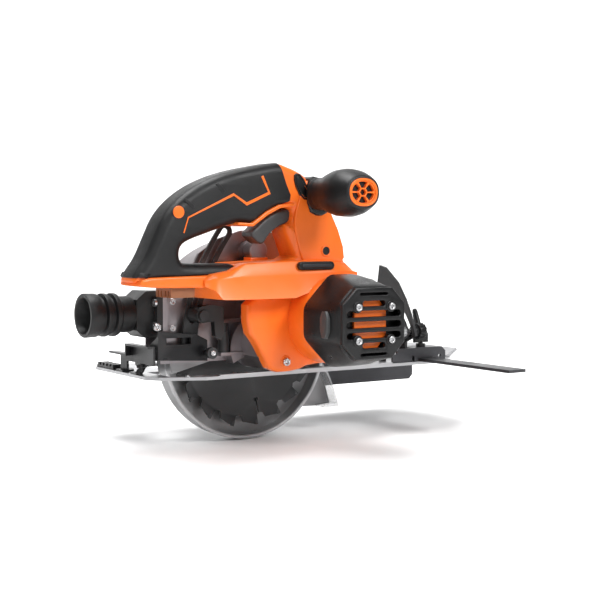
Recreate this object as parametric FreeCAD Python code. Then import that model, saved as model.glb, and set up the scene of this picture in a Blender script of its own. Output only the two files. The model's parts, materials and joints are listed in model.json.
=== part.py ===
"""Cordless circular saw with a 165 mm blade on the left of the motor.

Millimetres. +X is the cutting direction, +Y points from the motor to the blade, +Z is up.
The sole is at Z = 0. The origin is on the sole, level with the arbor, in the middle of the
narrow runner between the base's right edge and the blade slot.
"""
import math
import os

import FreeCAD
import Part

V = FreeCAD.Vector

# ---- driving dimensions -------------------------------------------------------------------
BLADE_Y = 42.0            # middle plane of the blade
BLADE_R = 82.5            # 165 mm blade
ARBOR_X, ARBOR_Z = 0.0, 26.0
TEETH = 18
KERF = 1.8
BLADE_PLATE = 1.2

SOLE_T = 3.0              # thickness of the base plate
BASE_REAR, BASE_FRONT = -121.0, 248.0
BASE_RIGHT, BASE_LEFT = BLADE_Y - 50.0, BLADE_Y + 101.0
SLOT_RIGHT, SLOT_LEFT = BLADE_Y - 34.0, BLADE_Y + 18.5
SLOT_REAR, SLOT_FRONT = -101.0, 114.5

BEVEL_Y, BEVEL_Z = BLADE_Y + 8.0, 9.0       # axis of the bevel hinge, along X
DEPTH_X, DEPTH_Z = 128.0, 18.0              # axis of the depth hinge, along Y
GUIDE_R = 205.0                             # middle radius of the depth guide about that axis
DEPTH_BOLT_DEG = 168.0                      # where the depth bolt crosses the guide at full depth
BEVEL_BOLT_R, BEVEL_BOLT_DEG = 65.0, 156.0  # bevel bolt about the bevel axis, from +Y towards +Z

GUARD_R = 93.5            # outside of the lower guard
HOOD_R = 108.0            # outside of the upper guard
GUARD_HALF, HOOD_HALF = 14.0, 16.0
GUARD_NEAR = 4.0          # how far the guard's rim reaches past the blade on the motor side

GRIP_Y = BLADE_Y - 58.0   # middle plane of the rear handle, where the two shells meet
GRIP_HALF = 18.0
DECK_RIGHT, DECK_LEFT = GRIP_Y - 35.0, GRIP_Y + 32.0   # sides of the battery deck
SHELL_T = 2.8
BODY_LEFT = BLADE_Y - 54.0  # left face of the orange lower body; the gear case shows beyond it

MOTOR_X, MOTOR_Z = 48.0, 55.0
BARREL_R = 43.0
CAP_START, CAP_END = BLADE_Y - 94.0, BLADE_Y - 148.0
GRILLE_END = BLADE_Y - 152.0

OUTPUT_TEETH, IDLER_SMALL_TEETH, IDLER_LARGE_TEETH, PINION_TEETH = 24, 20, 40, 8
MODULE_OUT, MODULE_IN = 1.25, 1.2
LOCK_ROD_R = 2.2           # spindle lock plunger

PORT_Z = 62.0             # axis of the dust port
PORT_BORE_R = 15.0
RUN = 0.05                # radial clearance of a running fit


# ---- small helpers --------------------------------------------------------------------------
def point(axis, u, v, w):
    """A point at (u, v) in the plane across the axis, w along it."""
    return {"x": V(w, u, v), "y": V(u, w, v), "z": V(u, v, w)}[axis]


def box(x0, x1, y0, y1, z0, z1):
    return Part.makeBox(x1 - x0, y1 - y0, z1 - z0, V(x0, y0, z0))


def rod(axis, u, v, r, lo, hi):
    direction = {"x": V(1, 0, 0), "y": V(0, 1, 0), "z": V(0, 0, 1)}[axis]
    return Part.makeCylinder(r, hi - lo, point(axis, u, v, lo), direction)


def cone(axis, u, v, r_lo, r_hi, lo, hi):
    direction = {"x": V(1, 0, 0), "y": V(0, 1, 0), "z": V(0, 0, 1)}[axis]
    return Part.makeCone(r_lo, r_hi, hi - lo, point(axis, u, v, lo), direction)


def slab(axis, points, lo, hi):
    """A flat outline extruded along an axis."""
    corners = [point(axis, u, v, lo) for u, v in points]
    face = Part.Face(Part.makePolygon(corners + corners[:1]))
    return face.extrude(point(axis, 0, 0, hi - lo))


def around(centre, r, degrees):
    """The point at radius r and an angle from the first in-plane axis."""
    a = math.radians(degrees)
    return centre[0] + r * math.cos(a), centre[1] + r * math.sin(a)


def sector(axis, centre, r0, r1, a0, a1, lo, hi):
    """Part of a flat ring between two angles, extruded along an axis."""
    def at(r, a):
        return point(axis, *around(centre, r, a), lo)
    middle = (a0 + a1) / 2
    outer = Part.Arc(at(r1, a0), at(r1, middle), at(r1, a1)).toShape()
    inner = Part.Arc(at(r0, a1), at(r0, middle), at(r0, a0)).toShape()
    side_a = Part.makeLine(at(r1, a1), at(r0, a1))
    side_b = Part.makeLine(at(r0, a0), at(r1, a0))
    face = Part.Face(Part.Wire([outer, side_a, inner, side_b]))
    return face.extrude(point(axis, 0, 0, hi - lo))


def arc_slot(axis, centre, r, width, a0, a1, lo, hi):
    """A slot with round ends that follows an arc."""
    body = sector(axis, centre, r - width / 2, r + width / 2, a0, a1, lo, hi)
    ends = [rod(axis, *around(centre, r, a), width / 2, lo, hi) for a in (a0, a1)]
    return join(body, *ends)


def join(first, *others):
    return first.fuse(list(others)).removeSplitter()


def less(first, *others):
    return first.cut(list(others)).removeSplitter()


def group(shapes):
    return Part.makeCompound(list(shapes))


def ring(axis, u, v, r_in, r_out, lo, hi):
    return less(rod(axis, u, v, r_out, lo, hi), rod(axis, u, v, r_in, lo - 1, hi + 1))


def gear(x, z, teeth, module, first_deg, y0, y1, bore):
    """A spur gear with one tooth centred at first_deg; flanks are straight, with backlash."""
    r_pitch = teeth * module / 2
    r_root, r_tip = r_pitch - 1.2 * module, r_pitch + 0.9 * module
    pitch = 360.0 / teeth
    half_root, half_tip = 0.28 * pitch, 0.10 * pitch
    outline = []
    for i in range(teeth):
        middle = first_deg + i * pitch
        for r, a in ((r_root, -half_root), (r_tip, -half_tip), (r_tip, half_tip), (r_root, half_root)):
            outline.append(around((x, z), r, middle + a))
    return less(slab("y", outline, y0, y1), rod("y", x, z, bore, y0 - 1, y1 + 1))


def socket_screw(axis, u, v, r, lo, hi, head_at_lo):
    """A socket-head screw: shank from lo to hi and a head outside one end."""
    head_t = 1.2 * r
    head_lo, head_hi = (lo - head_t, lo) if head_at_lo else (hi, hi + head_t)
    head = rod(axis, u, v, 1.8 * r, head_lo, head_hi)
    if head_at_lo:
        socket = rod(axis, u, v, 0.9 * r, head_lo - 1, head_lo + 0.6 * head_t)
    else:
        socket = rod(axis, u, v, 0.9 * r, head_hi - 0.6 * head_t, head_hi + 1)
    return less(join(rod(axis, u, v, r, lo, hi), head), socket)


# ---- base --------------------------------------------------------------------------------------
FENCE_X0, FENCE_X1 = 184.5, 206.5
SHOE_Y = BASE_LEFT + 3.0
QUADRANT_X = 169.0


def base_plate():
    outline = [(BASE_REAR, BASE_RIGHT + 34), (BASE_REAR + 8, BASE_RIGHT + 20), (-73, BASE_RIGHT),
               (BASE_FRONT - 28, BASE_RIGHT), (BASE_FRONT, BASE_RIGHT + 26),
               (BASE_FRONT, BASE_LEFT - 12), (BASE_FRONT - 12, BASE_LEFT),
               (BASE_REAR + 6, BASE_LEFT), (BASE_REAR, BASE_LEFT - 6)]
    plate = slab("z", outline, 0, SOLE_T)
    lip = slab("y", [(BASE_FRONT - 14, SOLE_T), (BASE_FRONT, SOLE_T), (BASE_FRONT + 10, 10),
                     (BASE_FRONT + 8, 12), (BASE_FRONT - 4, 5.5)], BASE_RIGHT + 26, BASE_LEFT - 12)
    rim = box(-58, 148, BASE_RIGHT, BASE_RIGHT + 2.2, SOLE_T, SOLE_T + 1.2)
    plate = join(plate, lip, rim)
    slot = box(SLOT_REAR, SLOT_FRONT, SLOT_RIGHT, SLOT_LEFT, -1, SOLE_T + 1)
    window = box(-78, -48, BASE_LEFT - 52, BASE_LEFT - 14, -1, SOLE_T + 1)
    sight = box(BASE_FRONT - 16, BASE_FRONT + 12, BLADE_Y - 2, BLADE_Y + 2, -1, 14)
    return less(plate, slot, window, sight)


def base_rivets():
    spots = [(-86, BASE_RIGHT + 12), (-38, BASE_RIGHT + 7), (62, BASE_RIGHT + 7), (124, BASE_RIGHT + 7)]
    return group([join(rod("z", x, y, 2.6, SOLE_T, SOLE_T + 0.9),
                       cone("z", x, y, 2.6, 1.4, SOLE_T + 0.9, SOLE_T + 1.7)) for x, y in spots])


def bevel_quadrant():
    """Upright curved plate across the front of the base, with the slot for the bevel bolt."""
    c = (BEVEL_Y, BEVEL_Z)
    edge = [(73, 162), (73, 154), (75, 142), (79, 130), (86, 116), (94, 100), (95, 94)]
    outer = [around(c, r, a) for r, a in edge]
    inner = [around(c, 57, a) for a in (90, 100, 110, 120, 130, 140, 150)]
    y0, y1 = BASE_RIGHT + 6, BASE_RIGHT + 16
    outline = [(y0, SOLE_T), (y0, 24)] + outer + inner + [(y1, 30), (y1, SOLE_T)]
    plate = slab("x", outline, QUADRANT_X, QUADRANT_X + 3)
    foot = box(QUADRANT_X - 10, QUADRANT_X + 3, y0, y1, SOLE_T, SOLE_T + 2.5)
    slot = arc_slot("x", c, BEVEL_BOLT_R, 7, 108, 158, QUADRANT_X - 1, QUADRANT_X + 4)
    return less(join(plate, foot), slot)


def front_hinge():
    """Two ears on the base that carry the front bevel pin."""
    def ear(x0, x1):
        y, z = BEVEL_Y, BEVEL_Z
        block = slab("x", [(y - 5.5, SOLE_T), (y + 18, SOLE_T), (y + 18, SOLE_T + 2.5), (y + 5.5, z + 1),
                           (y, z), (y - 5.5, z)], x0, x1)
        return join(block, rod("x", y, z, 5.5, x0, x1))
    foot = box(143, 160.6, BEVEL_Y + 9, BEVEL_Y + 18, SOLE_T, SOLE_T + 2.5)
    bracket = join(ear(143, 146.6), ear(157.4, 160.6), foot)
    return less(bracket, rod("x", BEVEL_Y, BEVEL_Z, 2.5, 142, 162))


def rear_channel():
    """Folded channel across the base behind the blade; it carries the rear bevel pin."""
    right, left = BLADE_Y - 25, BLADE_Y + 46
    step = BLADE_Y + 24
    web = join(box(-116, -113.6, right, step, 14, 30), box(-116, -113.6, step, left, 14, 20))
    top = join(box(-122, -113.6, right, step, 30, 32), box(-122, -113.6, step - 2.4, BLADE_Y + 60, 20, 22),
               box(-122, -113.6, step - 2.4, step, 20, 32))
    lug = box(-116, -113.6, BEVEL_Y - 6, BEVEL_Y + 6, SOLE_T, 15)
    post = box(-116, -113.6, left - 14, left, SOLE_T, 15)
    feet = [box(-121, -104, left - 14, left, SOLE_T, SOLE_T + 2.2),
            box(-121, -113.6, BEVEL_Y - 6, BEVEL_Y + 6, SOLE_T, SOLE_T + 2.2)]
    channel = join(web, top, lug, post, *feet)
    return less(channel, rod("x", BEVEL_Y, BEVEL_Z, 2.5, -123, -110))


def rear_rack():
    """Stepped strip on the rear left corner of the base."""
    strip = box(-119, -108, BASE_LEFT - 44, BASE_LEFT - 6, SOLE_T, SOLE_T + 2.5)
    steps = [box(-119, -108, BASE_LEFT - 44 + 8 * i, BASE_LEFT - 40 + 8 * i, SOLE_T + 2.5, SOLE_T + 5)
             for i in range(5)]
    return join(strip, *steps)


def bevel_pins():
    front = rod("x", BEVEL_Y, BEVEL_Z, 2.5, 142.4, 161.4)
    rear = join(rod("x", BEVEL_Y, BEVEL_Z, 2.5, -117.5, -108.9), rod("x", BEVEL_Y, BEVEL_Z, 3.4, -118.6, -117.4))
    return group([front, rear])


def fence_bracket():
    """Channel at the front right edge that guides the rip fence."""
    y0, y1, x0, x1 = BASE_RIGHT, BASE_RIGHT + 24, 150, 221
    outline = [(x0, SOLE_T), (x1, SOLE_T), (x1, 13), (x1 - 5, 17.5), (x0 + 6, 17.5), (x0 + 6, 12), (x0, 12)]
    near = slab("y", outline, y0 + 2.4, y0 + 4.8)
    far = slab("y", outline, y1, y1 + 2.4)
    top = box(178, x1 - 5, y0 + 2.4, y1 + 2.4, 15.1, 17.5)
    tunnel = box(FENCE_X0 - 0.3, FENCE_X1 + 0.3, y0, y1 + 4, SOLE_T, SOLE_T + 3.6)
    hole = rod("y", 213, 8, 1.8, y0, y0 + 10)
    notch = box(176, 179, y0, y0 + 10, SOLE_T, SOLE_T + 6)
    screw_hole = rod("z", 195.5, BASE_RIGHT + 13, 2.55, 10, 20)
    room = box(QUADRANT_X - 11, QUADRANT_X + 4, y0 + 5, y1 + 5, SOLE_T, 14.9)
    bracket = join(near, far, top)
    return less(bracket, tunnel, hole, notch, screw_hole, room)


def fence_screw():
    """Thumb screw that clamps the fence arm."""
    x, y = 195.5, BASE_RIGHT + 13
    shank = rod("z", x, y, 2.5, SOLE_T + 3.7, 24)
    collar = rod("z", x, y, 5, 17.6, 21)
    wing = box(x - 9, x + 9, y - 1.8, y + 1.8, 22, 32)
    return join(shank, collar, wing)


def rip_fence():
    """Flat arm above the base and a shoe that hangs beyond its left edge."""
    arm = box(FENCE_X0, FENCE_X1, BASE_RIGHT - 136, SHOE_Y + 3, SOLE_T + 0.3, SOLE_T + 3.3)
    shoe = slab("y", [(93, -32), (98, -37), (292, -37), (297, -32), (297, -6), (262, 6.3), (132, 6.3), (93, -6)],
                SHOE_Y, SHOE_Y + 3)
    return join(arm, shoe)


# ---- tilting frame --------------------------------------------------------------------------------
def front_tilt_bracket():
    """Clevis for the depth hinge, bevel knuckle, and the arm out to the bevel bolt."""
    right_ear = slab("y", [(118, 9), (140, 9), (140, 29), (118, 29)], BLADE_Y - 16, BLADE_Y - 12.5)
    left_ear = slab("y", [(118, 11), (140, 11), (140, 29), (118, 29)], BLADE_Y + 12.5, BLADE_Y + 16)
    bridge = box(139, 142, BLADE_Y - 16, BLADE_Y + 16, 12, 29)
    knuckle = join(rod("x", BEVEL_Y, BEVEL_Z, 5.3, 147, 157), box(147, 157, BEVEL_Y - 5.3, BEVEL_Y, BEVEL_Z, 22))
    neck = box(141, 164.5, BEVEL_Y - 16, BEVEL_Y - 3, 19, 26)
    bolt_y, bolt_z = around((BEVEL_Y, BEVEL_Z), BEVEL_BOLT_R, BEVEL_BOLT_DEG)
    arm = slab("x", [(BEVEL_Y - 3, 19), (BEVEL_Y - 3, 30), (bolt_y, bolt_z + 7), (bolt_y - 7, bolt_z),
                     (bolt_y, bolt_z - 7), (BEVEL_Y - 16, 19)], 162, 165.5)
    body = join(right_ear, left_ear, bridge, knuckle, neck, arm)
    return less(body, rod("x", BEVEL_Y, BEVEL_Z, 2.5 + RUN, 140, 160),
                rod("y", DEPTH_X, DEPTH_Z, 4, BLADE_Y - 20, BLADE_Y + 20),
                rod("x", bolt_y, bolt_z, 3, 160, 168))


def depth_pin():
    shank = rod("y", DEPTH_X, DEPTH_Z, 4, BLADE_Y - 16, BLADE_Y + 16)
    heads = [rod("y", DEPTH_X, DEPTH_Z, 5.3, BLADE_Y - 18.5, BLADE_Y - 16),
             rod("y", DEPTH_X, DEPTH_Z, 5.3, BLADE_Y + 16, BLADE_Y + 18)]
    return join(shank, *heads)


def rear_tilt_bracket():
    """Angle bracket on the rear bevel pin; its side plate carries the depth guide."""
    x0, x1 = -112.8, -110.0
    leg = slab("x", [(BEVEL_Y, BEVEL_Z - 5), (BEVEL_Y + 5, BEVEL_Z), (BEVEL_Y + 4, 22), (BLADE_Y - 14, 34),
                     (BLADE_Y - 29, 42), (BLADE_Y - 29, 19), (BLADE_Y - 14, 17), (BEVEL_Y - 5, BEVEL_Z)], x0, x1)
    side = slab("y", [(x0, 19), (-60, 16), (-60, 36), (-72, 42), (x0, 46)], BLADE_Y - 29, BLADE_Y - 26.4)
    opening = box(-104, -78, BLADE_Y - 31, BLADE_Y - 24, 33, 39.5)
    knob = join(rod("y", -62, 24.5, 3, BLADE_Y - 42, BLADE_Y - 28),
                rod("y", -62, 24.5, 5.5, BLADE_Y - 43, BLADE_Y - 38))
    body = join(less(join(leg, side), opening), knob)
    return less(body, rod("x", BEVEL_Y, BEVEL_Z, 2.5 + RUN, x0 - 1, x1 + 1))


def depth_guide():
    """Slotted arc about the depth hinge; the depth bolt clamps on it."""
    c = (DEPTH_X, DEPTH_Z)
    y0, y1 = BLADE_Y - 23.4, BLADE_Y - 20.9
    arc = sector("y", c, GUIDE_R - 8, GUIDE_R + 8, 143.5, 177.5, y0, y1)
    top = rod("y", *around(c, GUIDE_R, 143.5), 8, y0, y1)
    foot = box(-86, -62, y0, y1, 20, 30)
    spacer = rod("y", -72, 27, 7, BLADE_Y - 26.4, y0)
    slot = arc_slot("y", c, GUIDE_R, 7, 143.5, 169.5, y0 - 1, y1 + 1)
    return join(less(join(arc, top, foot), slot), spacer)


def depth_bolt():
    """Bolt on the hood that runs in the depth guide; it ends flush inside the hood."""
    x, z = around((DEPTH_X, DEPTH_Z), GUIDE_R, DEPTH_BOLT_DEG)
    return join(rod("y", x, z, 3, BLADE_Y - 44, BLADE_Y - 14.6), rod("y", x, z, 5, BLADE_Y - 46, BLADE_Y - 44))


def depth_lock_lever():
    x, z = around((DEPTH_X, DEPTH_Z), GUIDE_R, DEPTH_BOLT_DEG)
    y0, y1 = BLADE_Y - 43.7, BLADE_Y - 23.7
    hub = rod("y", x, z, 7, y0, y1)
    arm = slab("y", [(x - 5, z + 8), (x + 7, z + 10), (x + 22, z + 8), (x + 23, z - 18), (x + 19, z - 24),
                     (x + 13, z - 20), (x + 12, z - 6), (x - 3, z - 7)], y0, y0 + 7)
    return less(join(hub, arm), rod("y", x, z, 3 + RUN, y0 - 1, y1 + 1))


def bevel_bolt():
    y, z = around((BEVEL_Y, BEVEL_Z), BEVEL_BOLT_R, BEVEL_BOLT_DEG)
    return join(rod("x", y, z, 3, 160, 181), rod("x", y, z, 5.5, 157.5, 162))


def bevel_lock_lever():
    y, z = around((BEVEL_Y, BEVEL_Z), BEVEL_BOLT_R, BEVEL_BOLT_DEG)
    hub = join(rod("x", y, z, 7, 172.5, 181), rod("x", y, z, 8.5, 181, 186))
    arm = slab("x", [(y - 3.5, z), (y + 3.5, z), (y + 12, z + 21), (y + 8, z + 24), (y + 3, z + 22)], 181.5, 185.5)
    return less(join(hub, arm), rod("x", y, z, 3 + RUN, 170, 181.5))


# ---- guards ----------------------------------------------------------------------------------------
ARBOR = (ARBOR_X, ARBOR_Z)
ADAPTER_FRONT = -104.0
ADAPTER_REAR = -128.0
ADAPTER_SCREWS = [(BLADE_Y + y, z) for y in (-18.8, 18.8) for z in (51, 73)]


def upper_guard():
    """Hollow hood over the blade, open below, with the pivot lug in front and a dust flange behind."""
    y0, y1 = BLADE_Y - HOOD_HALF, BLADE_Y + HOOD_HALF
    hood = rod("y", *ARBOR, HOOD_R, y0, y1)
    lug = slab("y", [(96, 9), (122, 9), (136, 13), (136, 25), (128, 27.5), (106, 46), (92, 46)],
               BLADE_Y - 12, BLADE_Y + 12)
    flange = box(ADAPTER_FRONT, -92, BLADE_Y - 15, BLADE_Y + 15, 40, 84)
    keep = box(ADAPTER_FRONT, 140, y0, y1, 14, 140)
    wings = box(ADAPTER_FRONT, -99, BLADE_Y - 22, BLADE_Y + 22, 46, 78)
    solid = join(hood.common(keep), flange, wings, lug)
    hollow = rod("y", *ARBOR, HOOD_R - 2.4, y0 + 1.6, y1 - 1.6)
    hollow = hollow.common(box(-140, 103.5, y0, y1, -90, 140))
    hub_hole = rod("y", *ARBOR, 17.0, y0 - 1, y0 + 3)
    low_cut = box(-30, 30, y0 - 1, y0 + 3, 0, ARBOR_Z)
    bolt_access = rod("y", *ARBOR, 54, y1 - 3, y1 + 1)
    access_low = box(-54, 54, y1 - 3, y1 + 1, 0, ARBOR_Z)
    port = rod("x", BLADE_Y, PORT_Z, 12.5, ADAPTER_FRONT - 1, -70)
    pivot = rod("y", DEPTH_X, DEPTH_Z, 4 + RUN, y0, y1)
    shoulder = box(120, 140, y0 - 1, BLADE_Y - 12, 0, 50)
    body = less(solid, hollow, hub_hole, low_cut, bolt_access, access_low, port, pivot, shoulder,
                *adapter_screw_holes())
    boss = ring("y", *around((DEPTH_X, DEPTH_Z), GUIDE_R, DEPTH_BOLT_DEG), 3, 6.5, y0 - 3.2, y0)
    body = less(body, rod("y", *around((DEPTH_X, DEPTH_Z), GUIDE_R, DEPTH_BOLT_DEG), 3, y0 - 1, y0 + 3))
    nozzle = rod("y", -8, 121, 10, y0 - 8, y0)
    crest = slab("y", [(-74, 98), (-62, 119), (-41, 133), (-15, 141), (12, 142), (35, 134), (49, 120), (52, 100)],
                 y0, y0 + 3)
    return join(body, boss, nozzle, less(crest, rod("y", *ARBOR, HOOD_R - 1, y0 - 1, y0 + 4)))


def adapter_screw_holes():
    return [rod("x", y, z, 2.0, -111, -101) for y, z in ADAPTER_SCREWS]


def dust_adapter():
    """Cast elbow between the hood and the hose cuff."""
    body = slab("y", [(ADAPTER_FRONT, 40), (ADAPTER_FRONT, 84), (-118, 84), (ADAPTER_REAR, 76),
                      (ADAPTER_REAR, 47), (-120, 40)], BLADE_Y - 15, BLADE_Y + 15)
    wings = [box(-110, ADAPTER_FRONT, BLADE_Y + s, BLADE_Y + s + 7, 46, 78) for s in (-22, 15)]
    collar = rod("x", BLADE_Y, PORT_Z, 15.4, -134, ADAPTER_REAR)
    bore = rod("x", BLADE_Y, PORT_Z, 12.5, -135, ADAPTER_FRONT + 1)
    return less(join(body, collar, *wings), bore, *adapter_screw_holes())


def dust_cuff():
    """Ribbed rubber cuff that takes a hose."""
    taper = cone("x", BLADE_Y, PORT_Z, 19.0, 17.0, -156, ADAPTER_REAR)
    mouth = rod("x", BLADE_Y, PORT_Z, 19.2, -176, -156)
    ribs = [rod("x", BLADE_Y, PORT_Z, 20.6, x, x + 5) for x in (-176, -166.5, -158)]
    bore = rod("x", BLADE_Y, PORT_Z, PORT_BORE_R, -177, -146)
    seat = rod("x", BLADE_Y, PORT_Z, 15.4, -134, ADAPTER_REAR + 1)
    through = rod("x", BLADE_Y, PORT_Z, 12.5, -150, ADAPTER_REAR)
    return less(join(taper, mouth, *ribs), bore, seat, through)


def adapter_screws():
    return group([socket_screw("x", y, z, 2.0, -110, -101, True) for y, z in ADAPTER_SCREWS])


LOWER_A0, LOWER_A1 = -197.0, -11.0


def lower_guard():
    """Swinging guard: a full web on the left, a rim, and a hub arm on the right."""
    y0, y1, near = BLADE_Y - GUARD_HALF, BLADE_Y + GUARD_HALF, BLADE_Y - GUARD_NEAR
    rim = sector("y", ARBOR, GUARD_R - 1.5, GUARD_R, LOWER_A0, LOWER_A1, near, y1)
    root = sector("y", ARBOR, GUARD_R - 1.5, GUARD_R, -197, -166, y0, near)
    web = sector("y", ARBOR, 24, GUARD_R, LOWER_A0, LOWER_A1, y1 - 1.5, y1)
    toe_web = slab("y", [around(ARBOR, 92, -12), (98, -6), (107, -26), (112, -42), (93, -44),
                         around(ARBOR, 92.5, -48)], y1 - 1.5, y1)
    edge = sector("y", ARBOR, 90.5, GUARD_R, LOWER_A0, LOWER_A1, near, near + 1.5)
    arm = sector("y", ARBOR, 18, GUARD_R, -197, -166, y0, y0 + 1.5)
    hub = ring("y", *ARBOR, 17.0 + RUN, 21, y0 - 0.1, y0 + 3.0)
    return join(rim, web, toe_web, edge, root, arm, hub)


def guard_toe():
    """Clear lip that leads the lower guard over the edge of the work."""
    y0, y1 = BLADE_Y - GUARD_NEAR, BLADE_Y + GUARD_HALF - 1.5
    wall = slab("y", [around(ARBOR, GUARD_R + 0.1, -14), (98, -6), (107, -26), (112, -42), (110, -42.5),
                      (105.2, -26), (96.8, -8), around(ARBOR, GUARD_R + 0.1, -18)], y0, y1)
    foot = slab("y", [(111.5, -44), (112, -42), (110, -41), (93, -42), (93, -44)], y0, y1)
    return join(wall, foot)


def guard_lever():
    """Finger lever on the outside of the lower guard."""
    x, z = around(ARBOR, 44, 150)
    y1 = BLADE_Y + GUARD_HALF
    foot = sector("y", ARBOR, 27, 49, 163.5, 196, y1, y1 + 2)
    bridge = sector("y", ARBOR, 38, 50, 146, 166, y1, y1 + 2.5)
    stem = rod("y", x, z, 4.5, y1, y1 + 12)
    knob = rod("y", x, z, 6.5, y1 + 11, y1 + 20)
    return join(foot, bridge, stem, knob)


def guard_spring():
    """Return spring of the lower guard, as the sleeve that its coils fill."""
    return ring("z", -40, BLADE_Y - 25, 3.0, 5.5, 23, 52)


# ---- blade and spindle --------------------------------------------------------------------------------
def blade():
    """Eighteen carbide teeth with deep gullets and four expansion slots."""
    plate_lo, plate_hi = BLADE_Y - BLADE_PLATE / 2, BLADE_Y + BLADE_PLATE / 2
    pitch = 360.0 / TEETH
    outline = []
    for i in range(TEETH):
        a = i * pitch
        for r, da in ((BLADE_R - 1.2, 0), (BLADE_R - 10, 0.6), (BLADE_R - 12, 3.4), (BLADE_R - 10, 6.4),
                      (BLADE_R - 5, 7.4), (BLADE_R - 1.5, 16.5)):
            outline.append(around(ARBOR, r, a + da))
    body = slab("y", outline, plate_lo, plate_hi)
    slits = []
    for i in range(4):
        a = 12.0 + 90 * i
        slit = box(58, 74, BLADE_Y - 1, BLADE_Y + 1, ARBOR_Z - 0.6, ARBOR_Z + 0.6)
        slit.rotate(V(ARBOR_X, 0, ARBOR_Z), V(0, 1, 0), -a)
        slits.append(slit)
        slits.append(rod("y", *around(ARBOR, 57, a), 2.2, BLADE_Y - 1, BLADE_Y + 1))
    body = less(body, rod("y", *ARBOR, 8.0, BLADE_Y - 1, BLADE_Y + 1), *slits)
    tips = []
    for i in range(TEETH):
        a = i * pitch
        tip = slab("y", [around(ARBOR, BLADE_R, a), around(ARBOR, BLADE_R - 5, a + 0.3),
                         around(ARBOR, BLADE_R - 5, a - 1.6), around(ARBOR, BLADE_R - 0.6, a - 2.4)],
                   BLADE_Y - KERF / 2, BLADE_Y + KERF / 2)
        tips.append(tip)
    return join(body, *tips)


def inner_flange():
    return join(ring("y", *ARBOR, 6.0, 16, BLADE_Y - 4.6, BLADE_Y - 0.6),
                ring("y", *ARBOR, 6.0, 7.9, BLADE_Y - 1, BLADE_Y + 0.5))


def outer_flange():
    return ring("y", *ARBOR, 4.1, 16, BLADE_Y + 0.6, BLADE_Y + 3.6)


def blade_bolt():
    head = slab("y", [around(ARBOR, 7.5, 60 * i) for i in range(6)], BLADE_Y + 5, BLADE_Y + 10.5)
    washer = rod("y", *ARBOR, 10, BLADE_Y + 3.6, BLADE_Y + 5)
    shank = rod("y", *ARBOR, 4.0, BLADE_Y - 18, BLADE_Y + 3.6)
    socket = slab("y", [around(ARBOR, 2.9, 60 * i) for i in range(6)], BLADE_Y + 6, BLADE_Y + 11)
    return less(join(head, washer, shank), socket)


def spindle():
    body = join(rod("y", *ARBOR, 6.0, BLADE_Y - 34.5, BLADE_Y + 0.4),
                rod("y", *ARBOR, 4.0, BLADE_Y - 43, BLADE_Y - 34.5))
    return less(body, rod("y", *ARBOR, 4.0, BLADE_Y - 18, BLADE_Y + 1))


# ---- gear train -------------------------------------------------------------------------------------
def idler_centre():
    """Where the idler meshes with both the output gear and the pinion."""
    r_out = (OUTPUT_TEETH + IDLER_SMALL_TEETH) * MODULE_OUT / 2
    r_in = (IDLER_LARGE_TEETH + PINION_TEETH) * MODULE_IN / 2
    dx, dz = MOTOR_X - ARBOR_X, MOTOR_Z - ARBOR_Z
    d = math.hypot(dx, dz)
    along = (r_out ** 2 - r_in ** 2 + d ** 2) / (2 * d)
    off = math.sqrt(r_out ** 2 - along ** 2)
    return ARBOR_X + along * dx / d - off * dz / d, ARBOR_Z + along * dz / d + off * dx / d


IDLER = idler_centre()
TO_IDLER_DEG = math.degrees(math.atan2(IDLER[1] - ARBOR_Z, IDLER[0] - ARBOR_X))
FROM_MOTOR_DEG = math.degrees(math.atan2(IDLER[1] - MOTOR_Z, IDLER[0] - MOTOR_X))
OUT_Y0, OUT_Y1 = BLADE_Y - 34, BLADE_Y - 24
IN_Y0, IN_Y1 = BLADE_Y - 50, BLADE_Y - 43.5


def output_gear():
    wheel = gear(*ARBOR, OUTPUT_TEETH, MODULE_OUT, TO_IDLER_DEG, OUT_Y0, OUT_Y1, 6.0)
    middle = (OUT_Y0 + OUT_Y1) / 2
    holes = [rod("x", middle, ARBOR_Z, LOCK_ROD_R + 0.2, 12.5, 20),
             rod("x", middle, ARBOR_Z, LOCK_ROD_R + 0.2, -20, -12.5),
             rod("z", ARBOR_X, middle, LOCK_ROD_R + 0.2, ARBOR_Z + 12.5, ARBOR_Z + 20),
             rod("z", ARBOR_X, middle, LOCK_ROD_R + 0.2, ARBOR_Z - 20, ARBOR_Z - 12.5)]
    return less(wheel, *holes)


def idler():
    """Two gears on one shaft that turns in the case and the gear plate."""
    small_first = TO_IDLER_DEG + 180 + 180.0 / IDLER_SMALL_TEETH
    large_first = FROM_MOTOR_DEG + 180 + 180.0 / IDLER_LARGE_TEETH
    small = gear(*IDLER, IDLER_SMALL_TEETH, MODULE_OUT, small_first, OUT_Y0, OUT_Y1, 3.0)
    large = gear(*IDLER, IDLER_LARGE_TEETH, MODULE_IN, large_first, IN_Y0, IN_Y1, 3.0)
    shaft = rod("y", *IDLER, 4.0, BLADE_Y - 58.5, BLADE_Y - 18.5)
    return join(small, large, shaft, rod("y", *IDLER, 7.5, IN_Y1, OUT_Y0))


CASE_OUTLINE = [(-21, 20), (-12, 7.5), (14, 7.5), (30, 14), (70, 14), (88, 34), (88, 74), (66, 92), (32, 94),
                (2, 80), (-14, 62), (-21, 40)]


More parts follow.
